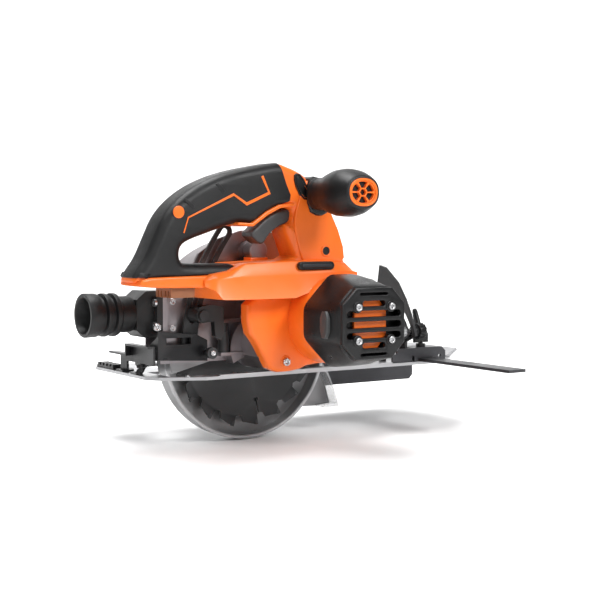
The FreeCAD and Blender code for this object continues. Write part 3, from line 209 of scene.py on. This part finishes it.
def loft(sections, closed=True):
    """Skins a list of rings of points (mm) and caps both ends."""
    work = bmesh.new()
    rings = [[work.verts.new(Vector(p) * MM) for p in ring] for ring in sections]
    n = len(rings[0])
    for a, b in zip(rings, rings[1:]):
        for i in range(n):
            work.faces.new((a[i], a[(i + 1) % n], b[(i + 1) % n], b[i]))
    if closed:
        work.faces.new(rings[0])
        work.faces.new(rings[-1])
    bmesh.ops.recalc_face_normals(work, faces=work.faces)
    mesh = bpy.data.meshes.new("loft")
    work.to_mesh(mesh)
    work.free()
    return mesh


def lathe(profile, u, v, across="y", n=64):
    """Turns a profile of (place along the axis, radius) round an axis through (u, v)."""
    rings = []
    for w, r in profile:
        ring = [(a, b) for a, b in circle(u, v, max(r, 0.01), n)]
        rings.append([{"x": (w, a, b), "y": (a, w, b), "z": (a, b, w)}[across] for a, b in ring])
    return loft(rings)


def merged(*meshes):
    work = bmesh.new()
    for mesh in meshes:
        work.from_mesh(mesh)
    result = bpy.data.meshes.new("merged")
    work.to_mesh(result)
    work.free()
    return result


def inside(u, v, outline):
    found = False
    for (au, av), (bu, bv) in zip(outline, outline[1:] + outline[:1]):
        if (av > v) != (bv > v) and u < (bu - au) * (v - av) / (bv - av) + au:
            found = not found
    return found


def clipped(mesh, outline):
    """Cuts a mesh along the edges of an outline in X and Z (mm) and keeps the faces inside it."""
    work = bmesh.new()
    work.from_mesh(mesh)
    bmesh.ops.triangulate(work, faces=work.faces[:])
    for (ax, az), (bx, bz) in zip(outline, outline[1:] + outline[:1]):
        bmesh.ops.bisect_plane(work, geom=work.verts[:] + work.edges[:] + work.faces[:],
                               plane_co=Vector((ax, 0, az)) * MM,
                               plane_no=Vector((az - bz, 0, bx - ax)).normalized(), dist=1e-7)
    middles = [(face, face.calc_center_median() / MM) for face in work.faces]
    outer = [face for face, spot in middles if not inside(spot.x, spot.z, outline)]
    bmesh.ops.delete(work, geom=outer, context="FACES")
    result = bpy.data.meshes.new("clipped")
    work.to_mesh(result)
    work.free()
    return result


def thicken(obj, depth):
    step = obj.modifiers.new("wall", "SOLIDIFY")
    step.thickness = depth * MM
    step.offset = -1.0


def half(mesh, side):
    """Keeps one side of the shell seam, with a hairline gap."""
    work = bmesh.new()
    work.from_mesh(mesh)
    where = Vector((0, (SEAM_Y + side * 0.12) * MM, 0))
    found = bmesh.ops.bisect_plane(work, geom=work.verts[:] + work.edges[:] + work.faces[:], plane_co=where,
                                   plane_no=Vector((0, -side, 0)), clear_outer=True, dist=1e-6)
    edges = [e for e in found["geom_cut"] if isinstance(e, bmesh.types.BMEdge)]
    bmesh.ops.triangle_fill(work, use_beauty=True, use_dissolve=False, edges=edges)
    bmesh.ops.recalc_face_normals(work, faces=work.faces)
    result = bpy.data.meshes.new("half")
    work.to_mesh(result)
    work.free()
    return result


def piece(name, mesh, body, finish, stands_for=(), angle=32, bevel=0.0, material=None):
    """Puts a mesh in the scene as a named piece that rides a CAD body."""
    obj = bpy.data.objects.new(name, mesh)
    bpy.context.collection.objects.link(obj)
    mesh.materials.clear()
    mesh.materials.append(material or FINISH[finish])
    mesh.polygons.foreach_set("use_smooth", [True] * len(mesh.polygons))
    if bevel:
        add_bevel(obj, bevel)
    mesh.set_sharp_from_angle(angle=math.radians(angle))
    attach(obj, body)
    if stands_for:
        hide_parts(*([stands_for] if isinstance(stands_for, str) else stands_for))
    return obj


def add_bevel(obj, width):
    step = obj.modifiers.new("soft_edges", "BEVEL")
    step.width = width * MM
    step.segments = 2
    step.limit_method = "ANGLE"
    step.angle_limit = math.radians(38)
    step.harden_normals = False


def ribbon(path, widths):
    """The outline of a band of changing width along a path in a plane."""
    left, right = [], []
    for i, (u, v) in enumerate(path):
        a = path[max(i - 1, 0)]
        b = path[min(i + 1, len(path) - 1)]
        du, dv = b[0] - a[0], b[1] - a[1]
        size = math.hypot(du, dv)
        nu, nv = -dv / size * widths[i] / 2, du / size * widths[i] / 2
        left.append((u + nu, v + nv))
        right.append((u - nu, v - nv))
    return left + right[::-1]


def capsule(x0, x1, z, height):
    """A straight slot with round ends."""
    r = height / 2
    turns = [math.pi * (i / 6 - 0.5) for i in range(7)]
    right = [(x1 - r + r * math.cos(a), z + r * math.sin(a)) for a in turns]
    left = [(x0 + r - r * math.cos(a), z - r * math.sin(a)) for a in turns]
    return right + left


def screw(x, y, z, r, across="y", face=-1, lobes=6):
    """A pan head with a star recess; face is the direction its top looks."""
    u, v, w = {"x": (y, z, x), "y": (x, z, y), "z": (x, y, z)}[across]
    star = [(u + math.cos(a) * q, v + math.sin(a) * q)
            for a, q in [(math.pi * i / lobes, r * (0.52 if i % 2 else 0.30)) for i in range(2 * lobes)]]
    lo, hi = (w + face * r * 0.7, w) if face < 0 else (w, w + face * r * 0.7)
    cap = plate(circle(u, v, r, 32), lo, hi, 0.25 * r, [star], across)
    floor_lo = hi - 0.3 * r if face < 0 else lo
    floor = plate(circle(u, v, r * 0.7, 16), floor_lo, floor_lo + 0.3 * r, 0.02, (), across)
    return merged(cap, floor)


# ---- CAD nodes that stay visible ------------------------------------------------------------
SLOT_OF = {s["node"]: s["material_slot"] for s in frame["record"]["subparts"]}
SOFT_EDGES = {
    "base_plate": 0.5, "bevel_quadrant": 0.5, "front_hinge": 0.5, "rear_channel": 0.4, "rear_rack": 0.5,
    "fence_bracket": 0.5, "rip_fence": 0.4, "front_tilt_bracket": 0.5, "rear_tilt_bracket": 0.5, "depth_guide": 0.4,
    "upper_guard": 0.7, "dust_adapter": 1.2, "guard_lever": 1.2, "terminal_block": 0.8, "gear_case": 1.5,
    "handle_flange": 0.9, "spindle_lock": 1.0, "lower_guard": 0.3, "guard_toe": 0.4, "depth_lock_lever": 1.2,
    "blade_bolt": 0.4, "outer_flange": 0.4, "depth_bolt": 0.5, "bevel_bolt": 0.5, "adapter_screws": 0.3,
}
for name, obj in frame["nodes"].items():
    obj.data.materials.clear()
    obj.data.materials.append(FINISH[SLOT_OF[name]])
    if name in SOFT_EDGES:
        add_bevel(obj, SOFT_EDGES[name])

# ---- housing ----------------------------------------------------------------------------------
HANDLE_OUT = [(-160, 97), (-154, 106), (-146, 116), (-137, 135), (-128, 154), (-114, 169), (-93, 183), (-62, 195),
              (-18, 203.5), (-5, 205), (4, 202), (16, 198), (27, 192), (33, 180), (57, 145), (75, 102), (74, 93),
              (-158, 93)]
HANDLE_HOLE = [(-107, 109), (13, 111), (7, 127), (-1, 146), (8, 149), (9, 163), (-8, 163.5), (-20, 157),
               (-34, 146.5), (-49, 148.5), (-57, 148), (-81, 140), (-106, 132), (-113, 125), (-113, 114)]
GRIP_ZONE = [(-190, 98.6), (-66, 100.4), (-54, 105.5), (-60, 111), (-70, 114), (-60, 126), (-45, 140),
             (-26, 157.5), (-6, 165.5),
             (7, 170), (-2, 189), (-10, 215), (-190, 215)]
BODY = [(-39, 79), (-39, 47), (-28, 33), (-22, 22), (-12, 5), (16, 5), (32, 11), (71, 11), (91, 33), (91, 76),
        (68, 96), (30, 98), (4, 84)]


def deck_section(x, top, ridge, low, near_top, near_ridge, near_low, far=15.8):
    return [(x, near_low, low), (x, near_ridge, ridge - 1), (x, near_ridge, ridge + 1), (x, near_top, top - 1),
            (x, near_top + 2, top), (x, far - 2, top), (x, far, top - 1.5), (x, far, low + 1), (x, far - 1, low)]


def deck():
    return loft([
        deck_section(-92, 97, 93.5, 90, -38, -40, -41, 5), deck_section(-85, 101, 96.5, 86, -42, -45, -48),
        deck_section(-79, 102, 97, 78, -42, -46, -51), deck_section(-66, 104, 98, 77.5, -42, -46, -51),
        deck_section(-50, 110.5, 98.5, 77.5, -42, -46, -51),
        deck_section(0, 112.5, 99.5, 77.5, -42, -46, -51), deck_section(14, 112.5, 100, 82, -42, -46.5, -51),
        deck_section(40, 112.5, 101, 92, -42, -48, -50), deck_section(64, 110, 101, 93, -41, -49, -49.5),
        deck_section(74, 102.5, 99.5, 94, -40, -47, -45, 12),
    ])


TAIL = [(-156, 93.4), (-152.5, 98.6), (-120, 99.6), (-76, 100), (-76, 88), (-86, 88.6), (-140, 89.6), (-154, 91)]


def barrel():
    rings = []
    for y, r in ((-20, 42.0), (-27.5, 42.8), (-40, 43.0), (-56, 43.0), (-57.8, 42.2)):
        rings.append([(x, y, z) for x, z in circle(*MOTOR, r, 72)])
    return loft(rings)


CHEEK = [(14, 171), (22, 191), (34, 185), (57, 150), (69, 117), (62, 107), (20, 107), (13, 128), (8, 148)]


def shell(side):
    core = plate(chaikin(HANDLE_OUT), -33.6, 1.6, 8.5, [chaikin(HANDLE_HOLE)], steps=5)
    lower = plate(chaikin(BODY, 1), -28, -11.6, 4.5, steps=4)
    tail = plate(chaikin(TAIL, 1), -37.4, 5.4, 2.0)
    parts = [half(core, side), half(deck(), side), half(lower, side), half(tail, side)]
    if side < 0:
        parts.append(barrel())
        parts.append(plate(chaikin(CHEEK, 1), -35.2, -30, 1.6))
        parts.append(plate(circle(3, 15, 6.2), -28.6, -25, 1.0))
    else:
        parts.append(plate([(-18, 106), (2, 106), (2, 115), (-18, 115)], 1.5, 16, 1.5))
    return merged(*parts)


piece("shell_right", shell(-1), "head", "orange", "housing_right")
piece("shell_left", shell(1), "head", "orange", "housing_left")
piece("hood_boss", lathe([(3, 9.0), (4, 10), (17, 10), (18, 9.2)], -8, 121), "head", "cast_grey")

skin = plate(chaikin(HANDLE_OUT), -34.4, 2.4, 9.0, [chaikin(HANDLE_HOLE)], steps=6, grow=0.7)
grip = piece("grip_skin", clipped(skin, chaikin(GRIP_ZONE, 1)), "head", "black_rubber", "grip_rubber")
thicken(grip, 1.4)

ACCENT = [(-110.6, 138.8), (-105.9, 152.8), (-58.2, 174.3), (-44.2, 165.7), (-19.4, 176.3), (-27.2, 192.0)]
piece("accent_line", plate(ribbon(ACCENT, [1.2, 1.4, 2.4, 3.0, 3.2, 2.6]), -35.0, -33.9, 0.3), "head", "orange")
piece("accent_dot", plate(circle(-115.6, 157.7, 5.6), -35.0, -33.6, 0.5), "head", "orange")
for number, line in enumerate([[(-76, 184.5), (-68, 176)], [(-109, 169), (-100, 162)]]):
    piece(f"grip_ridge_{number}", plate(ribbon(line, [3.4, 3.4]), -35.0, -33.9, 0.5), "head", "black_rubber")

TRIGGER = [(-36, 138), (-28, 144), (-20, 151), (-9, 157.5), (3, 161.5), (13, 162), (14.5, 150), (3, 147.5),
           (-8, 142.5), (-16, 134.5), (-20, 128.5), (-25, 128.5)]
piece("trigger_lever_body", plate(chaikin(TRIGGER, 1), -26, -6, 2.4), "trigger_lever", "grey_plastic", "trigger")

TRIM = [(-54, 147.4), (-38, 146.4), (-22, 157.2), (-8, 163.8), (9, 165.6)]
piece("trigger_trim", plate(ribbon(TRIM, [2.4, 3.4, 3.6, 3.4, 3.0]), -35.6, 3.6, 1.0), "head", "orange")

LOCK_FACE = [(10.5, 194), (15.5, 192.5), (25, 176), (24, 172), (18.5, 172.8), (10.5, 187)]
LOCK_FRAME = [(9, 196), (17, 194.6), (27.4, 176), (25.4, 169.8), (16.8, 171), (8.6, 187)]
lock = merged(plate(chaikin(LOCK_FACE, 1), -35.6, -30, 0.9), plate(chaikin(LOCK_FACE, 1), -2, 3.6, 0.9))
piece("lock_button", lock, "lock_off", "black_plastic", "lock_off_button")
for number, (lo, hi) in enumerate(((-35.5, -33), (1, 3.5))):
    piece(f"lock_frame_{number}", plate(chaikin(LOCK_FRAME, 1), lo, hi, 0.6, [chaikin(LOCK_FACE, 1)]), "head",
          "black_plastic")

piece("key_recess", plate(capsule(5, 46, 107.5, 8.0), -48.8, -44, 0.8), "head", "black_plastic")
piece("key_shank", plate(capsule(8, 42.5, 107.5, 3.6), -50.2, -45, 0.8), "key", "grey_metal", "hex_key")
piece("strap_eye", plate(circle(45, 121.3, 5.6), -36.2, -33, 0.7, [circle(45, 121.3, 4.0)]), "head", "orange")
piece("strap_eye_floor", plate(circle(45, 121.3, 4.1), -35.5, -34, 0.1), "head", "black_plastic")
NECK_FLANGE = [(23, 160), (22, 190), (32, 194), (45, 186), (52, 170), (48, 159), (36, 154)]
piece("neck_flange", plate(chaikin(NECK_FLANGE, 1), -37.6, 1.6, 2.0), "head", "black_plastic", "handle_flange")
piece("boss_screw", screw(3, -28.6, 15, 3.9), "head", "steel", "shell_screws")

# ---- motor cap ----------------------------------------------------------------------------------


def cap_ring(y, half_x, half_z, corner, power, n=80):
    """A rounded octagon; a higher power gives crisper facets."""
    ring = []
    for i in range(n):
        a = 2 * math.pi * i / n
        c, s = abs(math.cos(a)), abs(math.sin(a))
        reach = ((c / half_x) ** power + (s / half_z) ** power + ((c + s) / corner) ** power) ** (-1 / power)
        ring.append((MOTOR[0] + reach * math.cos(a), y, MOTOR[1] + reach * math.sin(a)))
    return ring


cap_rings = [cap_ring(-57.5, 43.6, 43.4, 58.6, 30), cap_ring(-58.6, 44.8, 44.4, 59.8, 30),
             cap_ring(-66, 44.4, 43.8, 59.6, 30), cap_ring(-84, 41.5, 40.8, 58.2, 30),
             cap_ring(-99, 37.6, 36.2, 55, 30),
             cap_ring(-104.5, 36.4, 34.6, 56, 26), cap_ring(-106, 35.6, 33.6, 54.5, 26),
             cap_ring(-106, 34.0, 32.0, 52, 26), cap_ring(-96, 33.0, 31.0, 50, 26)]
cup = loft(cap_rings, closed=False)
piece("cap_cup", cup, "head", "black_plastic", "motor_cap", angle=24)


def octagon(half_x, half_z, corner):
    x, z = MOTOR
    return [(x - half_x, z - half_z + corner), (x - half_x + corner, z - half_z), (x + half_x - corner, z - half_z),
            (x + half_x, z - half_z + corner), (x + half_x, z + half_z - corner), (x + half_x - corner, z + half_z),
            (x - half_x + corner, z + half_z), (x - half_x, z + half_z - corner)]


GRILLE_ROWS = [(27.6, 2.2, 16), (18.6, 5.0, 13), (9.2, 5.8, 31), (-0.8, 6.0, 31.5), (-10.8, 5.6, 31),
               (-20.2, 5.0, 13), (-28.6, 2.2, 15)]
slots = [capsule(MOTOR[0] - w, MOTOR[0] + w, MOTOR[1] + z, h) for z, h, w in GRILLE_ROWS]
piece("grille", plate(octagon(35.6, 33.2, 15), -110, -104.5, 1.1, slots), "head", "black_plastic")
corner_posts = [plate(circle(MOTOR[0] + sx * 19, MOTOR[1] + sz * 15.6, 5.4, 32), -110.9, -105, 0.9)
                for sx in (-1, 1) for sz in (-1, 1)]
piece("grille_posts", merged(*corner_posts), "head", "black_plastic")
heads = [screw(MOTOR[0] + sx * 19, -110.6, MOTOR[1] + sz * 15.6, 3.5) for sx in (-1, 1) for sz in (-1, 1)]
piece("grille_screw_heads", merged(*heads), "head", "steel", "grille_screws")
piece("baffle_cover", plate(octagon(18.5, 25, 12), -103.6, -100, 0.8), "head", "orange", "air_baffle")
piece("baffle_rim", plate(octagon(33, 31, 15), -99.6, -97, 0.5), "head", "black_plastic")
piece("cap_panel", plate(chaikin([(-94, 41), (-82, 42), (-82, 66), (-94, 67)], 1), 5.4, 14, 1.0, (), "x"), "head",
      "grey_plastic")

# ---- front handle ---------------------------------------------------------------------------------
GRIP_X, GRIP_Z = 33.0, 176.0


def oval(y, half_x, half_z, n=64, x=GRIP_X, z=GRIP_Z, power=2.3):
    ring = []
    for i in range(n):
        a = 2 * math.pi * i / n
        c, s = math.cos(a), math.sin(a)
        ring.append((x + half_x * math.copysign(abs(c) ** (2 / power), c), y,
                     z + half_z * math.copysign(abs(s) ** (2 / power), s)))
    return ring


def flat(ring):
    return [(p[0], p[2]) for p in ring]


GRIP_SECTIONS = [(-37.5, 12, 14.4), (-39, 13, 15.2), (-43, 13.4, 15.6), (-45, 12.6, 14.8), (-47, 13.2, 15.2),
                 (-54, 14.4, 15.6), (-66, 18.2, 19.0), (-78, 21.6, 21.8), (-90, 23.2, 22.4), (-99, 22.6, 20.8),
                 (-106, 20.6, 18.2), (-110.6, 18.8, 16.0), (-112.6, 17.9, 15.0), (-113, 17.2, 14.4),
                 (-113, 16.0, 13.0), (-109, 15.8, 12.8)]
piece("front_grip", loft([oval(*s) for s in GRIP_SECTIONS]), "head", "black_rubber", "front_handle", angle=40)
ring_out, ring_in = flat(oval(0, 15.9, 12.9)), flat(oval(0, 13.4, 10.6))


def cell(a0, a1):
    """One opening between two ribs of the end plug."""
    outer = [(GRIP_X + 12.4 * math.cos(a), GRIP_Z + 9.8 * math.sin(a)) for a in
             [a0 + (a1 - a0) * i / 8 for i in range(9)]]
    return outer + [(GRIP_X + 5.0 * math.cos(a), GRIP_Z + 4.4 * math.sin(a)) for a in (a1, a0)]


sixth = math.pi / 3
openings = [cell(sixth * i + 0.10, sixth * (i + 1) - 0.10) for i in range(6)]
openings.append([(GRIP_X + 3.6 * math.cos(sixth * i), GRIP_Z + 3.1 * math.sin(sixth * i)) for i in range(6)])
plug = merged(plate(ring_out, -113.6, -107.5, 0.8, [ring_in]),
              plate(flat(oval(0, 13.6, 10.8)), -112.4, -107.5, 0.3, openings),
              plate(ring_in, -108.4, -107, 0.1))
piece("grip_end_plug", plug, "head", "orange", "handle_insert", angle=28)

# ---- dust cuff and rear ------------------------------------------------------------------------------
CUFF = [(-128.5, 16.6), (-131, 17.4), (-142, 17.2), (-143.4, 19.8), (-145.2, 20.6), (-148.6, 20.4), (-149.8, 17.6),
        (-152.4, 17.6), (-153.4, 20.0), (-155.0, 20.6), (-158.0, 20.4), (-159.2, 17.4), (-162.0, 17.4), (-163.2, 20.0),
        (-165, 20.6), (-175, 20.8), (-176, 20.0), (-176, 17.6), (-175, 16.6), (-148, 15.6), (-147, 12.6), (-130, 12.6)]
piece("hose_cuff", lathe([(w, r) for w, r in CUFF], BLADE_Y, 62, "x", 72), "head", "black_rubber", "dust_cuff",
      angle=45)

# ---- clamps and knobs -------------------------------------------------------------------------------
knob_y, knob_z = 50 + 65 * math.cos(math.radians(156)), 9 + 65 * math.sin(math.radians(156))
grips = []
for i in range(96):
    a = 2 * math.pi * i / 96
    r = 8.6 - (0.7 if (i // 4) % 2 else 0)
    grips.append((knob_y + r * math.cos(a), knob_z + r * math.sin(a)))
wing = ribbon([(knob_y, knob_z), (knob_y + 5, knob_z + 12), (knob_y + 9, knob_z + 23)], [8, 7, 5])
piece("bevel_knob", merged(plate(grips, 178, 186.6, 0.9, (), "x"),
                           plate(circle(knob_y, knob_z, 6), 172.6, 180, 0.6, (), "x"),
                           plate(chaikin(wing, 1), 180.4, 184.6, 1.2, (), "x")),
      "bevel_lever", "black_plastic", "bevel_lock_lever")
piece("bevel_knob_face", plate(circle(knob_y, knob_z, 5.4), 185.6, 187.4, 0.5, (), "x"), "bevel_lever", "grey_metal")

# ---- lower guard and adapter details --------------------------------------------------------------
def arc_band(r0, r1, a0, a1, n=72):
    """The outline of a ring section about the arbor."""
    steps = [math.radians(a0 + (a1 - a0) * i / n) for i in range(n + 1)]
    outer = [(ARBOR[0] + r1 * math.cos(a), ARBOR[1] + r1 * math.sin(a)) for a in steps]
    return outer + [(ARBOR[0] + r0 * math.cos(a), ARBOR[1] + r0 * math.sin(a)) for a in reversed(steps)]


piece("guard_rim", plate(arc_band(91.2, 93.9, -196.5, -11.5), 37.5, 40.4, 0.5), "swing_guard", "silver_base")
piece("bracket_knob_screw", screw(-62, -1.2, 24.5, 2.6), "tilt_frame", "steel")
side_heads = [screw(x, 18.4, z, r) for x, z, r in ((-111.5, 50, 3.8), (-95, 48.5, 3.0), (-95, 74, 3.2))]
piece("adapter_side_screws", merged(*side_heads), "head", "steel")

# ---- studio -----------------------------------------------------------------------------------------
FLOOR_Z = -0.0690


def sweep():
    """A pale floor that curves up behind the object."""
    profile = [(-6.0, FLOOR_Z), (2.5, FLOOR_Z), (3.2, FLOOR_Z + 0.08), (3.8, FLOOR_Z + 0.4), (4.2, FLOOR_Z + 1.2),
               (4.3, FLOOR_Z + 6.0)]
    along = Vector((math.sin(math.radians(33.5)), math.cos(math.radians(33.5)), 0))
    side = Vector((along.y, -along.x, 0))
    work = bmesh.new()
    rows = [[work.verts.new(along * d + side * w + Vector((0, 0, z))) for w in (-8, 8)] for d, z in profile]
    for a, b in zip(rows, rows[1:]):
        work.faces.new((a[0], a[1], b[1], b[0]))
    mesh = bpy.data.meshes.new("floor")
    work.to_mesh(mesh)
    work.free()
    mesh.polygons.foreach_set("use_smooth", [True] * len(mesh.polygons))
    obj = bpy.data.objects.new("floor", mesh)
    bpy.context.collection.objects.link(obj)
    mesh.materials.append(surface("floor", (0.93, 0.93, 0.93), 0.6, grain=40, bump=0.02, vary=0.01, wear=0.0))


def lamp(name, place, target, size, power):
    data = bpy.data.lights.new(name, "AREA")
    data.shape = "RECTANGLE"
    data.size, data.size_y = size
    data.energy = power
    obj = bpy.data.objects.new(name, data)
    obj.location = place
    obj.rotation_euler = (Vector(target) - Vector(place)).to_track_quat("-Z", "Y").to_euler()
    bpy.context.collection.objects.link(obj)


bpy.context.scene.view_settings.view_transform = "Standard"
sweep()
world = bpy.data.worlds.new("studio")
world.use_nodes = True
world.node_tree.nodes["Background"].inputs["Color"].default_value = (1, 1, 1, 1)
world.node_tree.nodes["Background"].inputs["Strength"].default_value = 0.26
bpy.context.scene.world = world
lamp("key", (0.5, -1.6, 1.1), (0, 0, 0.08), (0.6, 0.6), 30)
lamp("fill", (-1.3, -1.1, 0.9), (0, 0, 0.1), (0.6, 0.6), 6)
lamp("top", (-0.2, 0.3, 1.6), (0, 0, 0.1), (1.2, 0.8), 30)
lamp("back", (-0.4, 1.6, 1.8), (1.6, 3.6, 0.4), (2.5, 2.0), 150)

lens = bpy.data.cameras.new("photo_angle")
lens.lens = 76.2
lens.sensor_width = 36
camera = bpy.data.objects.new("photo_angle", lens)
camera.location = (-0.65694, -1.05005, 0.14152)
camera.rotation_euler = (math.radians(90 - 3.155), 0, math.radians(-33.5))
bpy.context.collection.objects.link(camera)
bpy.context.scene.camera = camera
